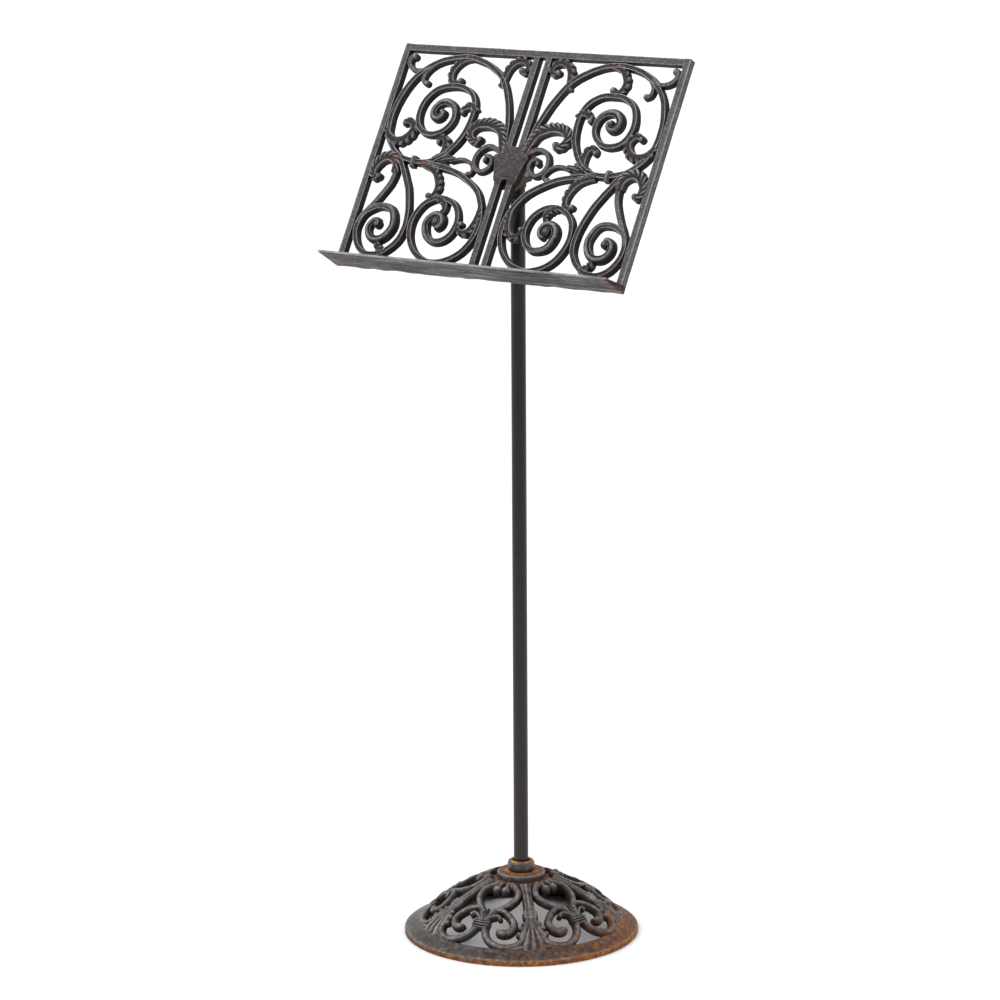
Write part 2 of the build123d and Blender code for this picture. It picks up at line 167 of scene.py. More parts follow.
class Build:
    """Collects the faces of one piece, with the relief of each vertex."""

    def __init__(self):
        self.verts, self.faces, self.relief = [], [], []

    def grid(self, points, relief, caps=True, ring=False):
        """A skin over closed rings of points, capped at both ends or joined up into a ring."""
        rings, per = points.shape[:2]
        first = len(self.verts)
        self.verts.extend(map(tuple, points.reshape(-1, 3)))
        self.relief.extend(np.broadcast_to(relief, (rings, per)).reshape(-1))
        for i in range(rings if ring else rings - 1):
            for j in range(per):
                k = (j + 1) % per
                a, b = first + i * per, first + (i + 1) % rings * per
                self.faces.append((a + j, a + k, b + k, b + j))
        if caps and not ring:
            self.faces.append(tuple(first + j for j in reversed(range(per))))
            self.faces.append(tuple(first + (rings - 1) * per + j for j in range(per)))

    def strand(self, path, up, half_w, height, section=None, end=None, blend=0.0, tip=True):
        """A bar swept along path. Its section turns into end by blend, and tip rounds its far end."""
        count = len(path)
        section = whole(RIDGED) if section is None else section
        end = section if end is None else end
        along = unit(np.gradient(path, axis=0))
        across = unit(np.cross(along, up))
        half_w = np.array(np.broadcast_to(half_w, count), float)
        height = np.array(np.broadcast_to(height, count), float)
        mix = np.broadcast_to(blend, count)
        if tip:
            run = np.concatenate([[0], np.cumsum(np.linalg.norm(np.diff(path, axis=0), axis=1))])
            left = np.clip((run[-1] - run) / np.maximum(half_w, 0.1), 0, 1)
            close = np.sqrt(1 - (1 - left) ** 2)
            half_w *= np.maximum(close, 0.06)
            height *= 0.35 + 0.65 * close
        rings, relief = [], []
        for i in range(count):
            x, h, r = (section * (1 - mix[i]) + end * mix[i]).T
            rings.append(path[i] + across[i] * (x * half_w[i])[:, None] + up[i] * (h * height[i])[:, None])
            relief.append(r)
        self.grid(np.array(rings), np.array(relief))

    def leaf(self, path, up, half_w, height, side, fluted=False):
        """A leaf along path, with lobes on one side (1 right, -1 left, 0 both) and a lip on the other,
        painted with a highlight. A fluted one has slanting flutes, the rest a smooth trough inside their
        lobes."""
        pitch, slant, reach = (7.0, 1.0, 0.35) if fluted else (8.2, 0.4, -0.2)
        along = unit(np.gradient(path, axis=0))
        across = unit(np.cross(along, up))
        run = np.concatenate([[0], np.cumsum(np.linalg.norm(np.diff(path, axis=0), axis=1))])
        swell = half_w * (0.72 + 0.36 * np.sin(math.pi * np.clip(run / run[-1] * 1.15, 0, 1)))
        close = np.sqrt(1 - (1 - np.clip((run[-1] - run) / swell, 0, 1)) ** 2)
        swell = swell * np.maximum(close, 0.08)
        t = np.linspace(-1, 1, 25)
        lobed = np.clip((np.abs(t) if side == 0 else t * side) * 1.5 + reach, 0, 1)
        lip = np.zeros(25) if side == 0 else np.exp(-((t + 0.80 * side) / 0.14) ** 2)
        trough = (1 - lobed) * (1 - lip)
        rings, relief = [], []
        for i in range(len(path)):
            ridge = np.abs(np.sin(math.pi * (run[i] / pitch + slant * np.abs(t))))
            notch = (1 - ridge) ** 2 * lobed
            shape = 0.80 + 0.17 * (1 - t ** 2) + 0.07 * lip - 0.07 * trough + 0.05 * ridge * lobed
            top = height * (0.4 + 0.6 * close[i]) * (shape - 0.20 * notch)
            top[[0, -1]] -= 0.9
            spread = t * (1 + 0.24 * (ridge - 0.75) * lobed) * swell[i]
            x = np.concatenate([spread[[0, 0]], spread, spread[[-1, -1]]])
            h = np.concatenate([[0, top[0] * 0.5], top, [top[-1] * 0.5, 0]])
            # Relief: a painted highlight on the lip and on the flutes' ridges, painted shade in the notches
            # and the trough.
            face = 0.46 - 0.14 * trough + 0.5 * lip - 0.55 * notch
            face = face + 0.40 * ridge * lobed * (1.1 - 0.5 * np.abs(t))
            rings.append(path[i] + across[i] * x[:, None] + up[i] * h[:, None])
            relief.append(np.clip(np.concatenate([[0.3, 0.06], face, [0.06, 0.3]]), 0, 1))
        self.grid(np.array(rings), np.array(relief))

    def ball(self, centre, radius, height, turns=0.0):
        """A button on the desk's back plane; turns cuts a spiral groove into its crown."""
        across, about = 15, 40
        angle = np.linspace(0, 2 * math.pi, about, endpoint=False)
        rows = [(1.0, 0.0)]
        rows += [(math.cos(a), 0.42 + 0.58 * math.sin(a)) for a in np.linspace(0, 1.5, across)]
        rings, relief = [], []
        for size, up in rows:
            groove = turns * (0.5 + 0.5 * np.cos(angle + 2 * math.pi * size * radius / 3.0)) * (up > 0.55)
            rings.append(np.stack([
                centre[0] + radius * size * np.cos(angle), centre[1] + radius * size * np.sin(angle),
                BACK + height * up - 0.7 * groove], 1))
            # Relief: a painted highlight on the crown, painted shade at the foot and in the groove.
            relief.append(np.clip(0.05 + 0.8 * up ** 2 - 0.5 * groove, 0, 1) + 0 * angle)
        self.grid(np.array(rings), np.array(relief))

    def turned(self, profile, steps=180, wobble=0.0):
        """A closed outline of (radius, height, relief) turned about the Z axis."""
        r, z, relief = np.array(profile, float).T
        rings = []
        for a in np.linspace(0, 2 * math.pi, steps, endpoint=False):
            push = wobble * noise.noise(Vector((math.cos(a) * 3, math.sin(a) * 3, 1.0)))
            lift = z + push * np.clip(z / 20, 0, 1)
            rings.append(np.column_stack([r * math.cos(a), r * math.sin(a), lift]))
        self.grid(np.array(rings), relief, ring=True)

    def piece(self, name, place=Matrix.Identity(4), mirror=False, smooth=42):
        """The collected faces as a Blender object, moved from millimetres into place."""
        points = np.array(self.verts, float) * MM
        if mirror:
            points[:, 0] *= -1
        spot = np.array(place)
        points = points @ spot[:3, :3].T + spot[:3, 3]
        mesh = bpy.data.meshes.new(name)
        mesh.from_pydata([tuple(p) for p in points], [], self.faces)
        layer = mesh.attributes.new("relief", "FLOAT", "POINT")
        layer.data.foreach_set("value", np.array(self.relief, np.float32))
        tidy = bmesh.new()
        tidy.from_mesh(mesh)
        bmesh.ops.recalc_face_normals(tidy, faces=tidy.faces)
        tidy.to_mesh(mesh)
        tidy.free()
        mesh.shade_smooth()
        mesh.set_sharp_from_angle(angle=math.radians(smooth))
        made = bpy.data.objects.new(name, mesh)
        bpy.context.scene.collection.objects.link(made)
        return made


def finish_piece(made, body, slot, material, *nodes):
    """Ride, material and the CAD nodes that the piece stands for. The slot argument is not used."""
    made.data.materials.append(material)
    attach(made, body)
    if nodes:
        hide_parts(*nodes)
    return made


# ---- materials ---------------------------------------------------------------------------------------
class Shader:
    """A short way to write a node tree."""

    def __init__(self, name):
        self.material = bpy.data.materials.new(name)
        self.material.use_nodes = True
        self.tree = self.material.node_tree
        self.bsdf = self.tree.nodes["Principled BSDF"]
        self.place = self.tree.nodes.new("ShaderNodeTexCoord").outputs["Object"]

    def link(self, source, target):
        self.tree.links.new(source, target)

    def noise(self, scale, detail=4.0, rough=0.6, stretch=None):
        node = self.tree.nodes.new("ShaderNodeTexNoise")
        node.inputs["Scale"].default_value = scale
        node.inputs["Detail"].default_value = detail
        node.inputs["Roughness"].default_value = rough
        place = self.place
        if stretch:
            mapping = self.tree.nodes.new("ShaderNodeMapping")
            mapping.inputs["Scale"].default_value = stretch
            self.link(place, mapping.inputs["Vector"])
            place = mapping.outputs["Vector"]
        self.link(place, node.inputs["Vector"])
        return node.outputs["Fac"]

    def ramp(self, value, stops):
        """A ramp of grey levels."""
        return self.colours(value, [(at, (level, level, level)) for at, level in stops])

    def spread(self, value):
        """Noise from about 0.3 to 0.7, moved to -1 to 1."""
        node = self.tree.nodes.new("ShaderNodeMapRange")
        node.inputs["From Min"].default_value = 0.3
        node.inputs["From Max"].default_value = 0.7
        node.inputs["To Min"].default_value = -1
        self.link(value, node.inputs["Value"])
        return node.outputs["Result"]

    def colours(self, value, stops):
        """A colour ramp."""
        node = self.tree.nodes.new("ShaderNodeValToRGB")
        band = node.color_ramp
        while len(band.elements) < len(stops):
            band.elements.new(0.5)
        for element, (at, colour) in zip(band.elements, stops):
            element.position = at
            element.color = (*colour, 1)
        self.link(value, node.inputs["Fac"])
        return node.outputs["Color"]

    def math(self, kind, a, b):
        node = self.tree.nodes.new("ShaderNodeMath")
        node.operation = kind
        for value, socket in zip((a, b), node.inputs):
            if isinstance(value, (int, float)):
                socket.default_value = value
            else:
                self.link(value, socket)
        return node.outputs["Value"]

    def mix(self, fac, a, b):
        node = self.tree.nodes.new("ShaderNodeMix")
        node.data_type = "RGBA"
        for value, socket in ((fac, node.inputs["Factor"]), (a, node.inputs["A"]), (b, node.inputs["B"])):
            if isinstance(value, tuple):
                socket.default_value = (*value, 1)
            elif isinstance(value, (int, float)):
                socket.default_value = value
            else:
                self.link(value, socket)
        return node.outputs["Result"]

    def attribute(self, name):
        node = self.tree.nodes.new("ShaderNodeAttribute")
        node.attribute_name = name
        return node.outputs["Fac"]

    def height(self):
        split = self.tree.nodes.new("ShaderNodeSeparateXYZ")
        self.link(self.place, split.inputs["Vector"])
        return split.outputs["Z"]

    def bump(self, value, strength, distance):
        node = self.tree.nodes.new("ShaderNodeBump")
        node.inputs["Strength"].default_value = strength
        node.inputs["Distance"].default_value = distance
        self.link(value, node.inputs["Height"])
        self.link(node.outputs["Normal"], self.bsdf.inputs["Normal"])

    def set(self, **values):
        for name, value in values.items():
            socket = self.bsdf.inputs[name.replace("_", " ")]
            if isinstance(value, (int, float)):
                socket.default_value = value
            elif isinstance(value, tuple):
                socket.default_value = (*value, 1)
            else:
                self.link(value, socket)


def desk_iron(name, streaks=0.0):
    """Charcoal cast iron, grainy on its faces, with painted shade in the deep and a painted highlight on
    its ridges. Streaks run across the desk."""
    s = Shader(name)
    grain = s.noise(1100, 4, 0.7)
    blotch = s.noise(340, 4, 0.65)
    relief = s.math("ADD", s.attribute("relief"), s.math("MULTIPLY", s.spread(blotch), 0.16))
    if streaks:
        lines = s.spread(s.noise(420, 4, 0.6, stretch=(0.045, 1, 1)))
        drifts = s.spread(s.noise(60, 4, 0.6, stretch=(0.25, 1, 1)))
        both = s.math("ADD", s.math("MULTIPLY", lines, streaks), s.math("MULTIPLY", drifts, 0.35 * streaks))
        relief = s.math("SUBTRACT", s.math("ADD", relief, both), 0.06 * streaks)
    # Painted shade in the deep and a painted highlight on the ridges, taken from the relief.
    tone = s.colours(relief, [
        (0.00, (0.003, 0.003, 0.002)), (0.20, (0.016, 0.012, 0.009)), (0.42, (0.050, 0.044, 0.046)),
        (0.62, (0.119, 0.113, 0.126)), (0.96, (0.38, 0.365, 0.395))])
    on_faces = s.ramp(relief, [(0.3, 0), (0.6, 0.5)])
    speck = s.math("MULTIPLY", s.ramp(grain, [(0.46, 0), (0.66, 1)]), on_faces)
    tone = s.mix(speck, tone, (0.17, 0.163, 0.178))
    dull = s.ramp(s.noise(45, 5, 0.6), [(0.45, 0), (0.72, 0.5)])
    tone = s.mix(dull, tone, (0.055, 0.046, 0.038))
    freckles = s.ramp(s.noise(48, 6, 0.75), [(0.69, 0), (0.75, 0.6)])
    flakes = s.ramp(s.noise(420, 4, 0.7), [(0.42, 0.15), (0.60, 0.9)])
    patches = s.math("MULTIPLY", s.attribute("rust"), flakes)
    tone = s.mix(freckles, tone, (0.17, 0.075, 0.035))
    tone = s.mix(patches, tone, (0.27, 0.095, 0.030))
    s.set(Base_Color=tone, Metallic=s.ramp(relief, [(0.12, 0.0), (0.50, 0.55)]),
          Roughness=s.math("ADD", 0.36, s.math("MULTIPLY", grain, 0.28)))
    s.bsdf.inputs["Specular IOR Level"].default_value = 0.08
    pits = s.math("MULTIPLY", s.noise(330, 3), 0.7)
    s.bump(s.math("ADD", s.math("MULTIPLY", grain, 0.5), pits), 0.55, 0.0006)
    return s.material


def base_iron():
    """Brown-grey cast iron with rust where water stands: the rim, the ring and the collar."""
    s = Shader("base_iron")
    grain = s.noise(800, 5, 0.7)
    blotch = s.noise(150, 5, 0.65)
    relief = s.math("ADD", s.attribute("relief"), s.math("MULTIPLY", s.spread(blotch), 0.25))
    # Painted shade in the deep and under things, and a painted highlight on the ridges and rounded edges,
    # taken from the relief.
    tone = s.colours(relief, [
        (0.00, (0.007, 0.005, 0.004)), (0.25, (0.023, 0.017, 0.014)), (0.50, (0.067, 0.055, 0.048)),
        (0.72, (0.134, 0.120, 0.117)), (1.00, (0.31, 0.29, 0.295))])
    tone = s.mix(s.ramp(s.noise(26, 4, 0.6), [(0.40, 0), (0.70, 0.45)]), tone, (0.085, 0.085, 0.092))
    on_faces = s.ramp(relief, [(0.3, 0), (0.7, 0.4)])
    speck = s.math("MULTIPLY", s.ramp(grain, [(0.48, 0), (0.68, 1)]), on_faces)
    tone = s.mix(speck, tone, (0.26, 0.235, 0.22))
    worn = s.ramp(s.noise(110, 6, 0.75), [(0.32, 0), (0.56, 1)])
    rust = s.math("MULTIPLY", s.attribute("rust"), s.math("ADD", 0.45, s.math("MULTIPLY", worn, 0.6)))
    depth = s.math("SUBTRACT", s.math("MULTIPLY", s.attribute("rust"), 0.28), 0.21)
    rust_tone = s.colours(s.math("ADD", s.noise(160, 5, 0.7), depth), [
        (0.32, (0.075, 0.024, 0.010)), (0.44, (0.24, 0.078, 0.020)), (0.56, (0.40, 0.150, 0.032)),
        (0.70, (0.60, 0.33, 0.055))])
    tone = s.mix(rust, tone, rust_tone)
    bare = s.math("SUBTRACT", 1.0, rust)
    shine = s.math("MULTIPLY", bare, s.ramp(relief, [(0.12, 0.0), (0.50, 0.55)]))
    s.set(Base_Color=tone, Metallic=shine, Roughness=s.math("ADD", 0.36, s.math("MULTIPLY", rust, 0.5)))
    s.bsdf.inputs["Specular IOR Level"].default_value = 0.10
    pits = s.math("MULTIPLY", s.noise(200, 4), 0.8)
    s.bump(s.math("ADD", s.math("MULTIPLY", grain, 0.6), pits), 0.6, 0.0009)
    return s.material


def pole_steel():
    """Satin black paint, darkened towards the top as painted shade under the desk, a little browner and
    duller towards the foot.
    """
    s = Shader("pole_steel")
    # low runs from 1 at the foot to 0 at the top; the mix it drives is painted shade, darker towards the
    # top under the desk.
    low = s.tree.nodes.new("ShaderNodeMapRange")
    low.inputs["From Min"].default_value = 0.10
    low.inputs["From Max"].default_value = 0.70
    low.inputs["To Min"].default_value = 1.0
    low.inputs["To Max"].default_value = 0.0
    s.link(s.height(), low.inputs["Value"])
    clouds = s.ramp(s.noise(60, 4), [(0.4, 0), (0.65, 1)])
    tone = s.mix(clouds, (0.002, 0.002, 0.002), (0.005, 0.005, 0.005))
    tone = s.mix(low.outputs["Result"], tone, (0.022, 0.017, 0.014))
    chips = s.ramp(s.noise(420, 5, 0.7), [(0.64, 0), (0.72, 0.35)])
    tone = s.mix(chips, tone, (0.12, 0.11, 0.11))
    s.set(Base_Color=tone, Roughness=s.math("ADD", 0.24, s.math("MULTIPLY", s.noise(160, 4), 0.16)))
    s.bsdf.inputs["Specular IOR Level"].default_value = 0.34
    s.bump(s.noise(500, 3), 0.15, 0.0003)
    return s.material


def dark_iron(name, low, high, rough):
    """Plain darkened iron for the bracket, the fittings and the fasteners."""
    s = Shader(name)
    tone = s.mix(s.ramp(s.noise(90, 5), [(0.35, 0), (0.7, 1)]), low, high)
    uneven = s.math("MULTIPLY", s.noise(500, 4), 0.2)
    s.set(Base_Color=tone, Metallic=0.35, Roughness=s.math("ADD", rough, uneven))
    s.bump(s.noise(600, 4), 0.35, 0.0004)
    return s.material


# ---- desk ------------------------------------------------------------------------------------------------
def flat_path(points, step=1.6, seed=0.0):
    """A smooth line on the desk's back face, a little unsteady as a casting is, and its normals."""
    line = smooth_line(points, step)
    path = np.column_stack([line, np.full(len(line), BACK)])
    path[:, 0] += ripple(path, 14.0, 0.5, seed)
    path[:, 1] += ripple(path, 14.0, 0.5, seed + 9)
    return path, np.broadcast_to([0.0, 0.0, 1.0], path.shape)


# Strands of the right-hand scrollwork, as (across, up) points from the middle of the desk.
GREAT_SCROLL = [
    (15, 16), (18, 30), (22, 50), (30, 75), (42, 100), (56, 118), (75, 131), (95, 139), (117, 142),
    (140, 139), (160, 132), (180, 118), (195, 98), (203, 75), (205, 55), (203, 35), (195, 20), (185, 8),
    (172, -3), (162, -16), (150, -34), (140, -53), (133, -75), (130, -95), (133, -112), (141, -124),
    (152, -133), (165, -137), (180, -136), (193, -128), (202, -113), (204, -98), (200, -85), (192, -77),
    (180, -71), (172, -70), (160, -73), (152, -83), (149, -95), (153, -107), (162, -115), (174, -116),
    (183, -110), (186, -101), (183, -93), (177, -90), (171, -92)]
UPPER_SPIRAL = [
    (205, 48), (200, 25), (190, 12), (178, 2), (165, -3), (148, -6), (130, -6), (118, -2), (105, 6),
    (95, 17), (85, 35), (81, 55), (82, 75), (90, 90), (105, 99), (125, 101), (147, 95), (160, 80),
    (164, 63), (160, 46), (150, 36), (134, 33), (118, 39), (109, 52), (109, 65), (116, 75), (127, 79),
    (137, 75.5), (142.5, 67), (141, 58.5), (134, 55), (128, 58), (126.5, 63), (129, 67)]
LOWER_SPIRAL = [
    (133, -6), (118, -9), (100, -12), (80, -16), (60, -25), (40, -38), (27, -55), (19, -75), (19, -95),
    (25, -112), (38, -128), (55, -137), (75, -140), (95, -134), (110, -122), (120, -103), (121, -85),
    (116, -70), (107, -60), (95, -54), (85, -53), (70, -57), (58, -68), (53, -82), (55, -97), (65, -109),
    (80, -112), (92, -107), (98, -97), (99, -86), (92, -77), (82, -76), (76, -82), (76, -89), (80, -93),
    (85, -93)]

# Leaves: points, half width, height, lobed side (1 right of the line's run, -1 left, 0 both), fluted.
LEAVES = [
    ([(16, 12), (21, 30), (28, 43), (42, 51), (57, 52), (69, 48), (75, 39), (71, 30), (63, 26), (57, 30)],
     7.2, 11.8, -1, True),
    ([(52, 104), (50, 119), (47, 131), (40, 139), (30, 142), (21, 138), (18, 130), (23, 125), (29, 128)],
     5.1, 10.4, 1, False),
    ([(106, 141), (120, 138), (130, 129), (134, 117), (130, 107), (122, 104), (116, 109)],
     4.7, 10.2, -1, False),
    ([(77, 68), (84, 75), (94, 73), (99, 65)], 5.0, 10.8, -1, False),
    ([(110, 1), (106, 12), (107, 23), (112, 29), (119, 28), (121, 22)], 4.9, 10.6, -1, False),
    ([(206, 35), (199, 26), (188, 20), (177, 21), (168, 28), (164, 38), (168, 46), (176, 49), (183, 45)],
     6.0, 11.2, -1, False),
    ([(132, -10), (113, -16), (103, -26), (98, -38), (99, -48), (105, -54), (111, -50)],
     4.8, 11.0, 1, False),
    ([(92, -55), (83, -58), (78, -65), (80, -75)], 4.6, 11.0, -1, False),
    ([(24, -60), (23, -74), (26, -88), (34, -97), (44, -97), (50, -90), (48, -84)], 4.7, 11.0, 1, False),
    ([(149, -133), (160, -128), (166, -118)], 5.0, 10.6, 0, False),
    ([(172, -24), (173, -12), (180, -4), (190, -2), (199, -7), (205, -16), (206, -26), (201, -32),
      (195, -30)], 7.0, 11.8, -1, True),
]
# Fingers of the bud where the two spirals part: root and tip.
BUD = [((120, -2), (104, 6)), ((113, -2), (94, 5)), ((106, -3), (84, 1)), ((112, -6), (93, -9)),
       ((120, -8), (104, -11))]
# Round tendrils: points, half width at the root and at the tip, height.
TENDRILS = [
    ([(170, 125), (183, 120), (195, 121), (203, 127), (205, 135), (200, 141)], 3.0, 4.2, 9.8),
    ([(204, 131), (210, 129)], 2.4, 3.0, 8.8),
    ([(203, -96), (199, -83), (190, -69), (181, -54), (174, -40), (171, -26), (172, -15)], 4.0, 4.3, 10.0),
    ([(92, -2), (77, 2), (66, 0), (58, -6), (55, -13), (59, -19)], 3.0, 2.6, 8.8),
    ([(155, 134), (168, 125), (175, 114), (174, 105), (168, 102)], 3.6, 3.2, 9.0),
    ([(14, 8), (28, 19), (40, 22), (51, 16), (56, 4), (53, -7), (44, -13), (34, -10), (29, -2), (31, 6),
      (37, 9), (42, 5)], 3.8, 3.2, 10.0),
]
# Buttons at curled ends: centre, radius, height, depth of the spiral groove.
BUTTONS = [
    ((174, -95), 6.0, 11.2, 0.8), ((85, -86), 6.8, 11.8, 0.9), ((129.5, 65), 3.9, 10.8, 0),
    ((61, -17.5), 3.9, 9.4, 0), ((117, 109), 4.7, 10.4, 0), ((168, 103), 4.4, 9.8, 0),
    ((28, 128), 4.8, 10.4, 0), ((200, 139), 4.8, 10.4, 0), ((181, 46), 4.7, 11.0, 0.5),
    ((40.5, 3.5), 4.2, 10.2, 0.4), ((110, -51), 4.4, 10.8, 0), ((196, -30), 4.8, 11.0, 0.5),
    ((58, 30), 5.0, 11.6, 0.5), ((120, 23), 4.0, 10.4, 0), ((98, 66), 4.4, 10.6, 0),
    ((46, -86), 4.2, 10.6, 0),
]


def main_strand(build, points, inside, seed):
    """A ridged strand whose last turn swells into a snail, lipped on its inner side."""
    path, up = flat_path(points, seed=seed)
    at = np.linspace(0, 1, len(path))
    snail = np.clip((at - 0.80) / 0.10, 0, 1)
    snail = snail * snail * (3 - 2 * snail)
    half_w = 4.4 + 0.9 * snail - 1.2 * np.clip((at - 0.95) / 0.05, 0, 1) + ripple(path, 20, 0.3, seed + 3)
    end = whole(LIPPED, ROUNDED) if inside < 0 else whole(ROUNDED, LIPPED)
    build.strand(path, up, half_w, DESK_T - 0.2 + 1.0 * snail, whole(RIDGED), end, snail)


def scrollwork(seed):
    """The right-hand panel's strands, leaves, tendrils and buttons."""
    build = Build()
    for i, (points, inside) in enumerate(((GREAT_SCROLL, -1), (UPPER_SPIRAL, 1), (LOWER_SPIRAL, -1))):
        main_strand(build, points, inside, seed + 1 + i)
    for i, (points, half_w, height, side, fluted) in enumerate(LEAVES):
        path, up = flat_path(points, 0.7, seed + 20 + i)
        build.leaf(path, up, half_w, height, side, fluted)
    for i, (points, root, tip, height) in enumerate(TENDRILS):
        path, up = flat_path(points, 1.2, seed + 40 + i)
        half_w = np.linspace(root, tip, len(path))
        build.strand(path, up, half_w, height, whole(ROUNDED), whole(RIDGED), 0.5)
    for i, (root, tip) in enumerate(BUD):
        middle = ((root[0] + tip[0]) / 2, (root[1] + tip[1]) / 2 + 1.2 * (1 if i < 3 else -1))
        path, up = flat_path([root, middle, tip], 1.0, seed + 60 + i)
        half_w = 1.9 + 1.7 * np.sin(np.linspace(0.4, 2.5, len(path)))
        build.strand(path, up, half_w, 10.9 - 0.25 * i, whole(LIPPED))
    for centre, radius, height, groove in BUTTONS:
        build.ball(centre, radius, height, groove)
    path = np.array([(TIE_AT, y, BACK) for y in np.linspace(TIE_FROM, TIE_TO, 16)])
    crown = 8.0 + 3.6 * np.sqrt(np.sin(np.linspace(0.25, math.pi - 0.25, 16)))
    build.strand(path, np.broadcast_to([0.0, 0.0, 1.0], path.shape), 3.7, crown, whole(BANDED), tip=False)
    return build


def desk_bar(build, start, end, half_w, section, seed):
    """A straight bar of the desk, with a casting's slight waviness."""
    count = int(math.dist(start, end) / 3) + 2
    path = np.linspace((*start, BACK), (*end, BACK), count)
    widths = half_w + np.minimum(ripple(path, 22, 0.5, seed), 0)
    heights = DESK_T + np.minimum(ripple(path, 30, 0.4, seed + 5), 0)
    build.strand(path, np.broadcast_to([0.0, 0.0, 1.0], path.shape), widths, heights, section, tip=False)


def boss(build):
    """The shield across the spine. Its lower end runs out level with the two bars."""
    inner, outer = SPINE_IN - 0.2, SPINE_OUT + 0.4
    half = [(15.5, 28), (17.2, 26.5), (17.4, 19), (18.2, 12.2), (25.2, 10.6), (26.2, 9), (25.0, 5.5),
            (22.4, -2), (20.2, -10), (18.4, -17), (17.6, -22), (16.2, -24.5), (outer, -27), (outer, -30),
            (inner, -30), (inner, -26)]
    arc = [(inner * math.cos(a), -26 + inner * math.sin(a)) for a in np.linspace(0, math.pi, 9)[1:-1]]
    notch = [(-6, 22.8), (6, 22.8)]
    outline = np.array(half + arc + [(-x, y) for x, y in reversed(half)] + notch, float)
    ahead, behind = np.roll(outline, -1, 0) - outline, outline - np.roll(outline, 1, 0)
    inward = unit(unit(np.column_stack([ahead[:, 1], -ahead[:, 0]])) + unit(
        np.column_stack([behind[:, 1], -behind[:, 0]])))
    proud = DESK_T + BOSS_PROUD * np.clip((outline[:, 1] + 29) / 14, 0.04, 1)
    rings = []
    for inset, share, drop in ((0.0, 0.0, 0.0), (0.0, 1.0, 1.1), (0.3, 1.0, 0.35), (1.0, 1.0, 0.0)):
        rings.append(np.column_stack([outline + inward * inset, BACK + proud * share - drop * share]))
    # Relief: painted shade at the shield's foot and a painted highlight along its bevelled edge.
    relief = np.array([[0.0], [0.3], [0.9], [0.44]])
    build.grid(np.array(rings), relief)


def ledge():
    """The book ledge, seen mostly from below: a wedge with a lip, painted with a highlight, and a wavy
    root.
    """
    build = Build()
    low, depth = -HALF_H, LEDGE_DEPTH
    # Relief column: a painted highlight along the lip, painted shade in the groove before it and where the
    # ledge meets the desk.
    section = np.array([
        (0.0, 1.2, 0.2), (0.9, 0.2, 0.6), (3, 0.0, 0.5), (10, 0.0, 0.42), (18, 0.15, 0.45), (26, 0.2, 0.45),
        (34, 0.15, 0.45), (40, 0.05, 0.5), (depth - 3.4, 0.0, 0.5), (depth - 2.2, 0.25, 0.15),
        (depth - 1.6, 0.0, 0.9), (depth - 0.4, 0.3, 1.0), (depth, 1.2, 1.0), (depth - 0.1, 2.3, 0.95),
        (depth - 0.8, 2.9, 0.9), (depth - 3, 3.15, 0.5), (36, 4.9, 0.45), (24, 7.0, 0.4),
        (DESK_T + 1.5, 9.4, 0.25), (DESK_T, 9.9, 0.1), (4, 9.9, 0.1), (0.0, 9.9, 0.1)])
    forward, up, relief = section.T
    rings = []
    for x in np.linspace(-HALF_W, HALF_W, 190):
        wave = np.array([noise.noise(Vector((x / 22, f / 26, u / 12))) for f, u in zip(forward, up)])
        root = max(0.0, 0.5 + noise.noise(Vector((x / 17, 5.5, 0)))) * np.exp(-forward / 5) * (up < 2)
        rings.append(np.column_stack([
            np.full(len(forward), x), low + np.maximum(0.0, up + 0.35 * wave + 1.3 * root),
            BACK + np.clip(forward - 0.4 * np.abs(wave) * (forward > 30), 0, depth)]))
    build.grid(np.array(rings), relief)
    return build


def rivets():
    """The flush ends of the boss's two rivets, and their shanks through the plate."""
    build = Build()
    top = DESK_T + BOSS_PROUD + 0.25
    angle = np.linspace(0, 2 * math.pi, 32, endpoint=False)
    for across, up in RIVET_SPOTS:
        build.ball((across, up), RIVET_R, top)
        ring = np.column_stack([across + RIVET_R * np.cos(angle), up + RIVET_R * np.sin(angle), 0 * angle])
        shank = np.array([ring + [0, 0, BACK - PLATE_T], ring + [0, 0, BACK + 1]])
        build.grid(shank, np.full((2, 32), 0.4))
    return build


def make_desk(iron, streaky):
    for side, mirror, seed in (("right", False, 0.0), ("left", True, 31.0)):
        made = scrollwork(seed).piece(f"scrollwork_{side}", DESK, mirror)
        finish_piece(made, "desk", "desk_iron", iron, f"desk_scroll_{side}")
        bar = Build()
        desk_bar(bar, (HALF_W - BAR / 2, LEDGE_TOP), (HALF_W - BAR / 2, HALF_H), BAR / 2,
                 whole(FLAT, GROOVED), seed + 50)
        made = bar.piece(f"side_bar_{side}", DESK, mirror)
        finish_piece(made, "desk", "desk_iron", iron, f"desk_{side}_bar")
    top = Build()
    ends = [(side * (HALF_W - BAR), HALF_H - BAR / 2) for side in (-1, 1)]
    desk_bar(top, *ends, BAR / 2, whole(FLAT), 71.0)
    finish_piece(top.piece("top_bar", DESK), "desk", "desk_iron", iron, "desk_top_bar")
    spine = Build()
    for side in (-1, 1):
        across = side * (SPINE_IN + SPINE_OUT) / 2
        desk_bar(spine, (across, LEDGE_TOP), (across, HALF_H - BAR), (SPINE_OUT - SPINE_IN) / 2,
                 whole(FLAT), 80.0 + side)
    boss(spine)
    finish_piece(spine.piece("spine_and_boss", DESK), "desk", "desk_iron", iron, "desk_spine")
    finish_piece(ledge().piece("book_ledge", DESK), "desk", "desk_iron", streaky, "desk_ledge")
    finish_piece(rivets().piece("boss_rivets", DESK), "desk", "desk_iron", iron, "bracket_rivets")
    for made in bpy.context.scene.objects:
        if made.type == "MESH" and {iron.name, streaky.name} & set(made.data.materials.keys()):
            add_rust(made, desk_rust)


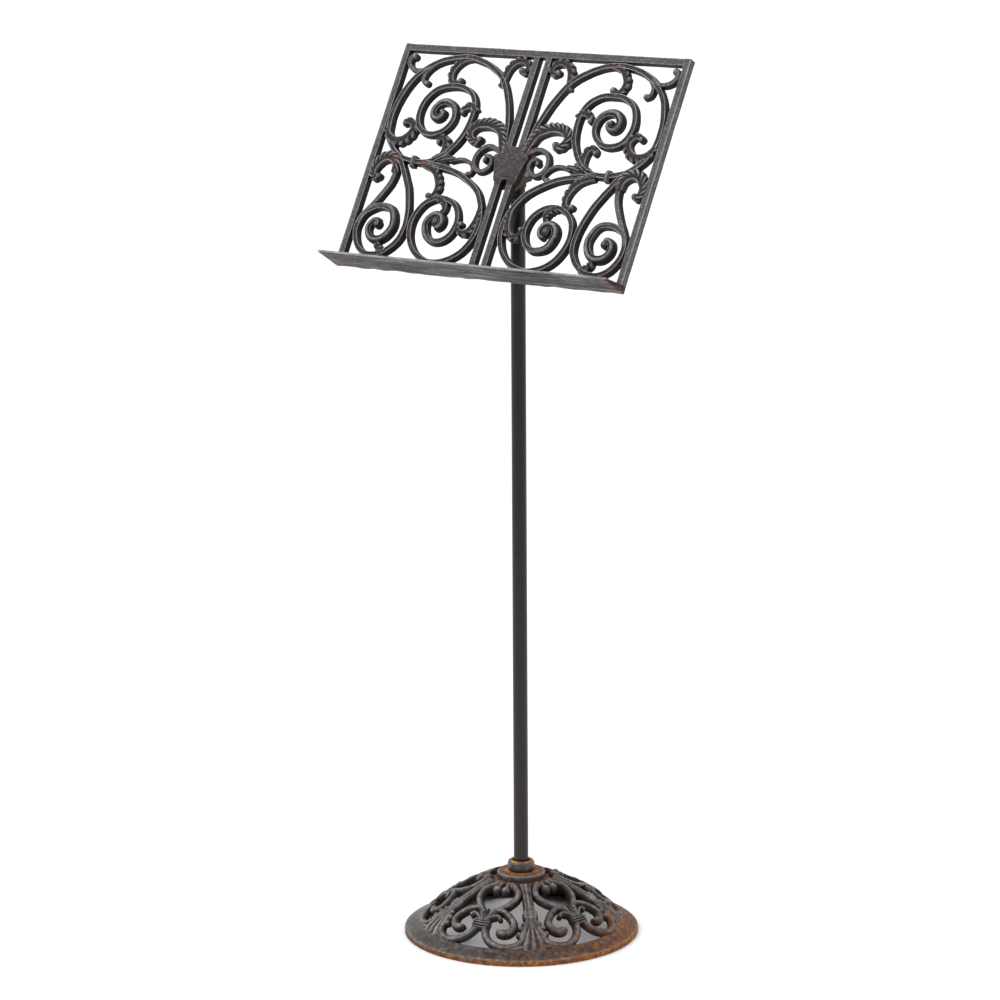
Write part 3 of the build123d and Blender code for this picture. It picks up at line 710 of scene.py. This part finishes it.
# ---- base ------------------------------------------------------------------------------------------------
CHORD = math.hypot(DOME_FOOT[0] - DOME_HEAD[0], DOME_HEAD[1] - DOME_FOOT[1])
ARC_R = (CHORD ** 2 / 4 + DOME_RISE ** 2) / (2 * DOME_RISE)
OUT_R, OUT_Z = (DOME_HEAD[1] - DOME_FOOT[1]) / CHORD, (DOME_FOOT[0] - DOME_HEAD[0]) / CHORD
CENTRE_R = (DOME_FOOT[0] + DOME_HEAD[0]) / 2 - (ARC_R - DOME_RISE) * OUT_R
CENTRE_Z = (DOME_FOOT[1] + DOME_HEAD[1]) / 2 - (ARC_R - DOME_RISE) * OUT_Z


def dome_z(radius):
    """Height of the dome's outer surface at a radius."""
    return CENTRE_Z + np.sqrt(ARC_R ** 2 - (radius - CENTRE_R) ** 2)


def on_dome(plan, drop):
    """Points at drop mm under the dome's surface, above (x, y) points, and the surface's normals."""
    radius = np.hypot(plan[:, 0], plan[:, 1])
    outward = plan / radius[:, None]
    lean_r, lean_z = (radius - CENTRE_R) / ARC_R, (dome_z(radius) - CENTRE_Z) / ARC_R
    normal = np.column_stack([outward * lean_r[:, None], lean_z])
    surface = np.column_stack([plan, dome_z(radius)])
    return surface - normal * drop, normal


def polar_line(path, side=1, step=1.6):
    """A smooth plan line from (angle off the motif's middle, radius) pairs."""
    flat = [(r * math.cos(math.radians(side * a)), r * math.sin(math.radians(side * a))) for a, r in path]
    return smooth_line(flat, step)


BAR_T = 6.5                        # depth of the openwork's bars below the dome's surface
# Lines of a fleur's right half, as (angle off its middle, radius).
FLEUR_STEM = [(12, 40), (20, 48), (25, 57), (22.5, 68), (15.5, 78), (8, 86), (3.5, 94), (2.5, 104)]
FLEUR_SCROLL = [(3, 92), (7, 86.5), (12, 86.5), (18, 91), (22, 98), (23.5, 105), (22, 111.5), (18, 115),
                (14.5, 113.5), (13.6, 110)]
FLEUR_ARM = [(2.5, 106), (5, 117), (9, 124.5), (16, 130), (23, 129.5), (28, 125), (30, 118), (31.5, 108)]
PALMETTE = [[(0, 101), (0, 93), (0, 85)], [(1.2, 101), (3.2, 94), (5.6, 88.5)],
            [(2, 101), (6, 96.5), (10.5, 94.5), (12.8, 97.5)]]
# Half a baluster's outline, as (radius, half width).
BALUSTER = [(42, 9.5), (50, 7.8), (60, 7.4), (82, 7.6), (86, 9.0), (88, 10.3), (95, 10.3), (96.5, 8.8),
            (100, 9.4), (104, 12.0), (108, 15.5), (113, 18), (118, 18.5), (123, 17.5), (128, 18.5),
            (133, 23)]
# Buttons on a baluster's shoulders: radius, distance off its middle, size, height.
SHOULDERS = ((103, 10.0, 3.4, 9.0), (108.5, 15.0, 3.9, 9.2), (115.5, 17.6, 4.3, 9.0))
WAIST = ((88.0, 1.4), (91.5, 1.9), (95.0, 1.4))         # its rings, as (radius, height)


def dome_strand(build, path, side, half_w, height=8.6, section=None, tip=True, step=1.6):
    """A round-topped bar lying in the dome's wall."""
    foot, normal = on_dome(polar_line(path, side, step), BAR_T)
    foot = foot + normal * ripple(foot, 9.0, 0.35)[:, None]
    build.strand(foot, normal, half_w, height, whole(ROUNDED if section is None else section), tip=tip)


def dome_ball(build, angle, radius, size, height):
    """A button standing on the dome."""
    spot = np.array([[radius * math.cos(math.radians(angle)), radius * math.sin(math.radians(angle))]])
    foot, normal = on_dome(spot, BAR_T)
    outward = unit(np.array([spot[0, 0], spot[0, 1], 0.0]))
    around = unit(np.cross(normal[0], outward))
    axes = np.column_stack([np.cross(around, normal[0]), around, normal[0]])
    button = Build()
    button.ball((0, 0), size, height)
    local = np.array(button.verts) - [0, 0, BACK]
    shift = len(build.verts)
    build.verts += [tuple(p) for p in local @ axes.T + foot[0]]
    build.relief += button.relief
    build.faces += [tuple(v + shift for v in face) for face in button.faces]


def fleur(build):
    """One fleur: two strands from the hub to a tie, with two scrolls and two arms below them."""
    for side in (1, -1):
        dome_strand(build, FLEUR_STEM, side, 5.1, tip=False)
        at = np.linspace(0, 1, len(polar_line(FLEUR_SCROLL, side)))
        dome_strand(build, FLEUR_SCROLL, side, np.interp(at, (0, 0.6, 1), (4.6, 5.2, 6.4)), 9.4)
        dome_strand(build, FLEUR_ARM, side, 5.1, 8.4, tip=False)
        dome_strand(build, [(6, 41), (6.6, 46), (6.8, 52)], side, 4.4, 8.8, step=1.0)
        dome_ball(build, side * 6.8, 53.5, 6.2, 10.8)
        dome_strand(build, [(13, 42), (14, 46), (14.5, 50)], side, 3.8, 9.0, step=1.0)
        for line, half_w in zip(PALMETTE, (2.4, 2.4, 3.2)):
            dome_strand(build, line, side, half_w, 9.6, step=1.0)
        dome_ball(build, side * 12.2, 96.5, 3.4, 9.6)
        dome_strand(build, [(31, 129), (24, 131.5), (16, 132)], side, 4.0, 7.4, tip=False)
    for radius, half, height in ((102, 10.5, 9.6), (105, 11.6, 10.4), (108, 11.6, 10.4), (111, 10.5, 9.6)):
        spread = math.degrees(half / radius)
        line = [(a, radius) for a in np.linspace(-spread, spread, 5)]
        dome_strand(build, line, 1, 1.9, height, tip=False, step=1.5)


def baluster(build):
    """Round strap, waist rings and fluted foot of one baluster."""
    radii = np.linspace(42, 132.5, 92)
    t = np.linspace(-1, 1, 45)
    rings, relief = [], []
    for r, w in zip(radii, np.interp(radii, *zip(*BALUSTER))):
        foot = np.clip((r - 100) / 14, 0, 1)
        edge = np.clip((1 - np.abs(t)) * w / (5.0 - 2.0 * foot), 0, 1)
        crown = np.sqrt(1 - (1 - edge) ** 2)
        fan = np.cos(18 * np.arctan2(t * w, max(r - 99.0, 3.0)))
        ridge = np.cos(3 * math.pi * t) * (1 - foot)
        ring = sum(size * math.exp(-((r - at) / 1.2) ** 2) for at, size in WAIST)
        up = 1.0 + (7.8 - 0.9 * foot + ring) * crown + (0.9 * foot * fan + 0.35 * ridge) * crown
        up *= 1 - 0.3 * max(0.0, (r - 126) / 7)
        # Relief: a painted highlight on the crown, the waist rings and the flutes' ridges, painted shade at
        # the edges and underneath.
        shape = 0.15 + 0.45 * crown + 0.25 * ring * crown + 0.3 * (foot * fan + 0.6 * ridge) * crown
        foot_line, normal = on_dome(np.column_stack([np.full(45, r), t * w]), BAR_T)
        rings.append(np.concatenate([foot_line + normal * up[:, None], foot_line[::-1]]))
        relief.append(np.clip(np.concatenate([shape, np.zeros(45)]), 0, 1))
    build.grid(np.array(rings), np.array(relief))
    for side in (-1, 1):
        for r, out, size, height in SHOULDERS:
            dome_ball(build, side * math.degrees(out / r), r, size, height)


# Small rust patches on the desk: across, up and size.
RUST_SPOTS = [
    (-175, -7, 5), (-131, -8, 4), (-80, -101, 4), (-210, -153, 4), (213, -152, 5), (-112, 146, 3),
    (118, 144, 3), (190, -128, 3), (28, 14, 4), (-60, -19, 2.5)]


def desk_rust(x, y, z, up):
    """Rust about the desk's chosen spots."""
    spot = DESK_BACK @ Vector((x * MM, y * MM, z * MM)) / MM
    return max(math.exp(-((spot.x - u) ** 2 + (spot.y - v) ** 2) / size ** 2) for u, v, size in RUST_SPOTS)


def add_rust(made, amount):
    """A rust attribute from a function of place, in millimetres, and of how far a face looks up."""
    mesh = made.data
    values = [amount(v.co.x / MM, v.co.y / MM, v.co.z / MM, v.normal.z) for v in mesh.vertices]
    layer = mesh.attributes.new("rust", "FLOAT", "POINT")
    layer.data.foreach_set("value", np.clip(np.array(values, np.float32), 0, 1))


def patchy(x, y, z, size):
    """Smooth noise from 0 to 1."""
    return 0.5 + 0.5 * noise.noise(Vector((x, y, z)) / size)


RUSTY_SIDE = math.radians(15)      # the flange is rustiest about this angle from +X


def base_rust(x, y, z, up):
    """Rust on the rim, on one side of the flange and on the apron round the hub."""
    radius = math.hypot(x, y)
    side = 0.5 + 0.5 * math.cos(math.atan2(y, x) - RUSTY_SIDE)
    rim = np.clip((radius - 147) / 4, 0, 1) * np.clip((8.5 - z) / 3, 0, 1)
    flange = np.clip((radius - 104) / 26, 0, 1) * side ** 3
    apron = np.clip((50 - radius) / 9, 0, 1) * max(up, 0) * np.clip((z - 60) / 6, 0, 1)
    spots = patchy(x, y, z, 12)
    patches = (0.95 * flange + 0.75 * apron + 0.12 * side) * spots
    return min(0.78, 0.9 * rim * (0.45 + 0.55 * side) + patches)


def hub_rust(x, y, z, up):
    """The rust that water leaves on the ring's top, deepest against the collar."""
    radius = math.hypot(x, y)
    ring = np.clip((z - 80.0) / 0.8, 0, 1) * (0.55 + 0.6 * np.clip((27 - radius) / 8, 0, 1))
    return max(base_rust(x, y, z, up) * (z < 76), ring * (0.45 + 0.8 * patchy(x, y, z, 8)))


def collar_rust(x, y, z, up):
    """Rust on the collar's crown, and a little round its foot."""
    crown = np.clip((z - 93.2) / 1.6, 0, 1) * (0.55 + 0.8 * patchy(x, y, z, 7))
    return crown + 0.4 * np.clip((82.5 - z) / 1.5, 0, 1)


def make_base(iron):
    r_out = OPEN_R
    flange = Build()
    # Relief column: painted shade on the underside and inner wall, a painted highlight on the rounded rim
    # and the inner lip.
    flange.turned([
        (BASE_R - RIM_FOOT, 0.0, 0), (BASE_R - 0.8, 0.0, 0.2), (BASE_R, 0.8, 0.4),
        (BASE_R, RIM_H - 1.8, 0.4), (BASE_R - 0.4, RIM_H - 0.6, 0.75), (BASE_R - 1.6, RIM_H + 0.4, 0.8),
        (BASE_R - 4, RIM_H + 1.6, 0.5), (145, 9.9, 0.42), (140, 12.3, 0.42), (135.5, 14.3, 0.5),
        (r_out + 1.0, 15.6, 0.75), (r_out, 15.4, 0.6), (r_out - 0.6, 14.0, 0.2), (r_out - 0.6, 10.0, 0),
        (138, 6.0, 0), (143, 3.0, 0)], wobble=0.9)
    made = flange.piece("base_flange_skin")
    finish_piece(made, "stand", "base_iron", iron, "base_flange")
    add_rust(made, base_rust)

    hub = Build()
    ring_r, ring_foot = HUB_RING, HUB_RING_LOW
    # Relief column: painted shade underneath and in the bore, a painted highlight on the ring's and apron's
    # rounded edges.
    hub.turned([
        (46.5, 65.2, 0.2), (APRON_FOOT[0], 66.6, 0.4), (41.6, 68.4, 0.6), (40.2, 69.3, 0.8),
        (39.0, 69.2, 0.45), (36, 70.6, 0.4), (33, 72.0, 0.35), (31.8, ring_foot - 0.3, 0.1),
        (ring_r, ring_foot + 1.0, 0.35),
        (ring_r, HUB_TOP - 2.4, 0.6), (ring_r - 0.5, HUB_TOP - 1.0, 0.85),
        (ring_r - 1.7, HUB_TOP - 0.2, 0.8), (28, HUB_TOP - 0.3, 0.5), (22, HUB_TOP - 0.1, 0.4),
        (18.6, HUB_TOP, 0.2), (POLE_R + 0.1, HUB_TOP, 0.1), (POLE_R + 0.1, POLE_FOOT, 0),
        (6.3, POLE_FOOT, 0), (6.3, HUB_UNDER, 0), (20, HUB_UNDER, 0.1),
        (24, HUB_UNDER + 0.9, 0.1), (46, 63.4, 0.05)], steps=150, wobble=0.35)
    made = hub.piece("base_hub_skin")
    finish_piece(made, "stand", "base_iron", iron, "base_hub")
    add_rust(made, hub_rust)

    collar = Build()
    top = HUB_TOP + COLLAR_H
    # Relief column: painted shade in the bore, a painted highlight on the rounded crown.
    collar.turned([
        (10.8, HUB_TOP, 0), (16.4, HUB_TOP, 0.05), (17.0, HUB_TOP + 0.8, 0.3), (17.5, HUB_TOP + 3, 0.5),
        (COLLAR_R, top - 7.5, 0.6), (17.5, top - 4.6, 0.65), (17.0, top - 2.6, 0.75),
        (16.0, top - 1.2, 0.8), (14.6, top - 0.3, 0.75), (13.2, top, 0.65), (11.8, top - 0.4, 0.5),
        (10.8, top - 1.8, 0.1)],
        steps=96, wobble=0.3)
    made = collar.piece("pole_collar_skin", smooth=60)
    finish_piece(made, "stand", "base_iron", iron, "pole_collar")
    add_rust(made, collar_rust)

    for i in range(REPEATS):
        turn = math.radians(BASE_TURN + i * 360 / REPEATS)
        for name, node, draw, more in (("baluster", "base_baluster", baluster, 0.0),
                                       ("fleur", "base_fleur", fleur, math.pi / REPEATS)):
            build = Build()
            draw(build)
            made = build.piece(f"{name}_{i + 1}", Matrix.Rotation(turn + more, 4, "Z"))
            finish_piece(made, "stand", "base_iron", iron, f"{node}_{i + 1}")
            add_rust(made, base_rust)


# ---- the CAD nodes that stay ---------------------------------------------------------------------------
def dress(node, material, bevel=0.0):
    """A better material for a CAD node, and softened edges."""
    made = frame["nodes"][node]
    made.data.materials.clear()
    made.data.materials.append(material)
    if bevel:
        soft = made.modifiers.new("edges", "BEVEL")
        soft.width = bevel * MM
        soft.segments = 2
        soft.limit_method = "ANGLE"
        soft.angle_limit = math.radians(40)


def make_fittings():
    bracket = dark_iron("bracket_iron", (0.030, 0.024, 0.019), (0.070, 0.056, 0.043), 0.55)
    fastener = dark_iron("fastener_steel", (0.10, 0.095, 0.09), (0.20, 0.19, 0.18), 0.35)
    dress("pole_tube", pole_steel())
    for node in ("hinge_bracket", "pole_head"):
        dress(node, bracket, 0.6)
    for node in ("pole_head_pin", "hinge_bolt", "friction_washers", "hinge_washer", "hinge_nut",
                 "foot_spigot", "foot_washer", "foot_nut"):
        dress(node, fastener, 0.2)


# ---- stage: floor, light and camera ----------------------------------------------------------------
CAM_AZIMUTH, CAM_ELEVATION, CAM_ROLL = math.radians(35.605), math.radians(11.802), math.radians(-0.345)
CAM_DISTANCE, CAM_AIM = 4.7586, Vector((0, 0, 0.6))
CAM_SLIDE = (-0.0245, -0.0261)     # camera moved this far right and up, in metres
CAM_LENS = 134.27
WALL_BRIGHT, WALL_DIM = 1.0, 0.50
SUN_POWER, SUN_SPREAD = 1.25, math.radians(70)
SUN_FROM = Vector((-0.55, -0.35, 1.0))
FLOOR = 60.0                       # half the floor's width, in metres


def make_camera():
    """The camera, a little above the stand and to the right of its front."""
    flat = math.cos(CAM_ELEVATION)
    back = Vector((math.sin(CAM_AZIMUTH) * flat, -math.cos(CAM_AZIMUTH) * flat, math.sin(CAM_ELEVATION)))
    level = Vector((math.cos(CAM_AZIMUTH), math.sin(CAM_AZIMUTH), 0))
    over = back.cross(level)
    right = level * math.cos(CAM_ROLL) + over * math.sin(CAM_ROLL)
    top = over * math.cos(CAM_ROLL) - level * math.sin(CAM_ROLL)
    spot = CAM_AIM + back * CAM_DISTANCE + right * CAM_SLIDE[0] + top * CAM_SLIDE[1]
    data = bpy.data.cameras.new("camera")
    data.lens = CAM_LENS
    data.sensor_width = 36
    data.clip_end = 50
    camera = bpy.data.objects.new("camera", data)
    camera.matrix_world = Matrix((
        (right.x, top.x, back.x, spot.x), (right.y, top.y, back.y, spot.y),
        (right.z, top.z, back.z, spot.z), (0, 0, 0, 1)))
    bpy.context.scene.collection.objects.link(camera)
    bpy.context.scene.camera = camera


def make_world():
    """A white studio whose wall behind the camera is dimmer, so that round things keep a dark middle."""
    world = bpy.data.worlds.new("studio")
    world.use_nodes = True
    tree = world.node_tree
    place = tree.nodes.new("ShaderNodeTexCoord")
    dot = tree.nodes.new("ShaderNodeVectorMath")
    dot.operation = "DOT_PRODUCT"
    dot.inputs[1].default_value = (math.sin(CAM_AZIMUTH), -math.cos(CAM_AZIMUTH), -0.15)
    tree.links.new(place.outputs["Generated"], dot.inputs[0])
    level = tree.nodes.new("ShaderNodeMapRange")
    level.inputs["From Min"].default_value = 0.30
    level.inputs["From Max"].default_value = 0.78
    level.inputs["To Min"].default_value = WALL_BRIGHT
    level.inputs["To Max"].default_value = WALL_DIM
    tree.links.new(dot.outputs["Value"], level.inputs["Value"])
    tree.links.new(level.outputs["Result"], tree.nodes["Background"].inputs["Strength"])
    tree.nodes["Background"].inputs["Color"].default_value = (1, 1, 1, 1)
    bpy.context.scene.world = world


def make_stage():
    scene = bpy.context.scene
    scene.view_settings.view_transform = "Standard"
    make_world()
    mesh = bpy.data.meshes.new("floor")
    corners = [(-FLOOR, -FLOOR, 0), (FLOOR, -FLOOR, 0), (FLOOR, FLOOR, 0), (-FLOOR, FLOOR, 0)]
    mesh.from_pydata(corners, [], [(0, 1, 2, 3)])
    floor = bpy.data.objects.new("floor", mesh)
    scene.collection.objects.link(floor)
    s = Shader("floor_white")
    s.set(Base_Color=(0.92, 0.92, 0.92), Roughness=0.7)
    s.bsdf.inputs["Specular IOR Level"].default_value = 0.1
    floor.data.materials.append(s.material)
    data = bpy.data.lights.new("overhead", "SUN")
    data.energy = SUN_POWER
    data.angle = SUN_SPREAD
    sun = bpy.data.objects.new("overhead", data)
    sun.rotation_euler = SUN_FROM.to_track_quat("Z", "Y").to_euler()
    scene.collection.objects.link(sun)


make_camera()
make_stage()
make_desk(desk_iron("desk_iron"), desk_iron("ledge_iron", 0.40))
make_base(base_iron())
make_fittings()
